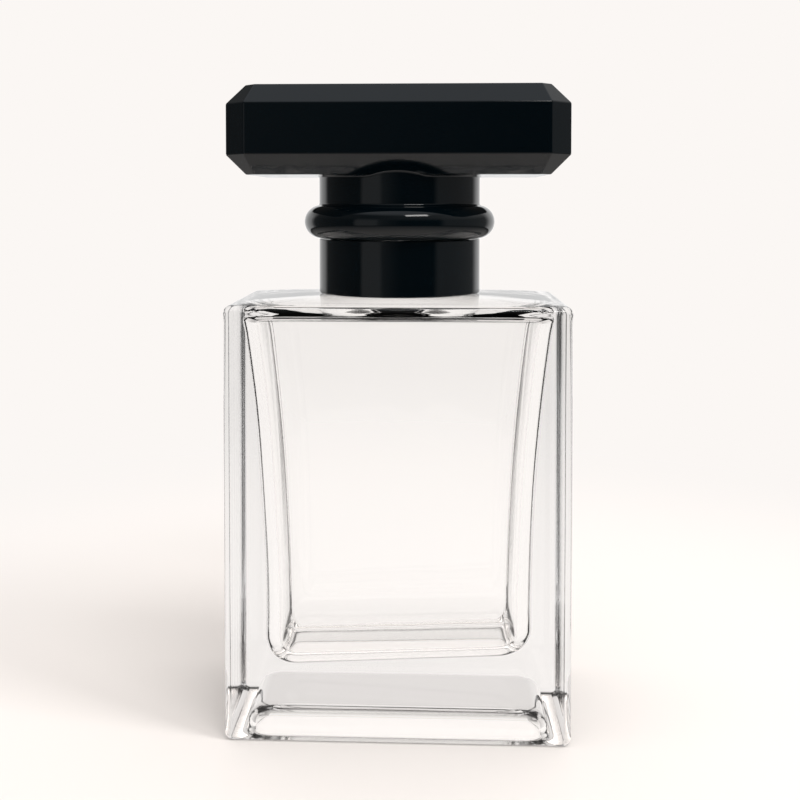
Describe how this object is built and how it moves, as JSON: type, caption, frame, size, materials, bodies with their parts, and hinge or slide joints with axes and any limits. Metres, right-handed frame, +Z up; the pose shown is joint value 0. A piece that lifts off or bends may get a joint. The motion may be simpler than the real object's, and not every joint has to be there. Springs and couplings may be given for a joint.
{
  "type": "aftershave bottle",
  "caption": "Rectangular thick-glass splash bottle with a threaded neck, black neck collar and a weighted, bevelled block screw cap on a beaded stem.",
  "frame": {"origin": "centre of the footprint, on the surface that the bottle stands on", "axes": "+Z up along the neck, X along the width, Y along the depth, front is -Y"},
  "size_m": [0.0564, 0.033, 0.107],
  "materials": {
    "clear_glass": "clear flint glass, fire polished",
    "natural_plastic": "natural translucent polyethylene",
    "black_gloss": "polished black moulding",
    "black_matte": "unpolished black polypropylene",
    "seal_foam": "closed-cell foam with a smooth skin",
    "steel": "sawn and deburred mild steel"
  },
  "bodies": {
    "bottle": {"glass_bottle": "clear_glass", "pour_insert": "natural_plastic", "neck_collar": "black_gloss", "collar_clip": "black_matte"},
    "seal": {"seal_liner": "seal_foam"},
    "cap": {"cap_head": "black_gloss", "cap_base": "black_gloss", "cap_weight": "steel", "thread_insert": "black_matte"}
  },
  "joints": [
    {"name": "cap_lift", "type": "slide", "parent": "bottle", "child": "seal", "axis": [0, 0, 1], "range_m": [0, 0.00477]},
    {"name": "cap_turn", "type": "hinge", "parent": "seal", "child": "cap", "pos_m": [0, 0, 0.09], "axis": [0, 0, 1], "range_deg": [0, 540]}
  ],
  "couplings": [
    {"joint": "cap_lift", "follows": "cap_turn", "m_per_rad": 0.00050532}
  ]
}
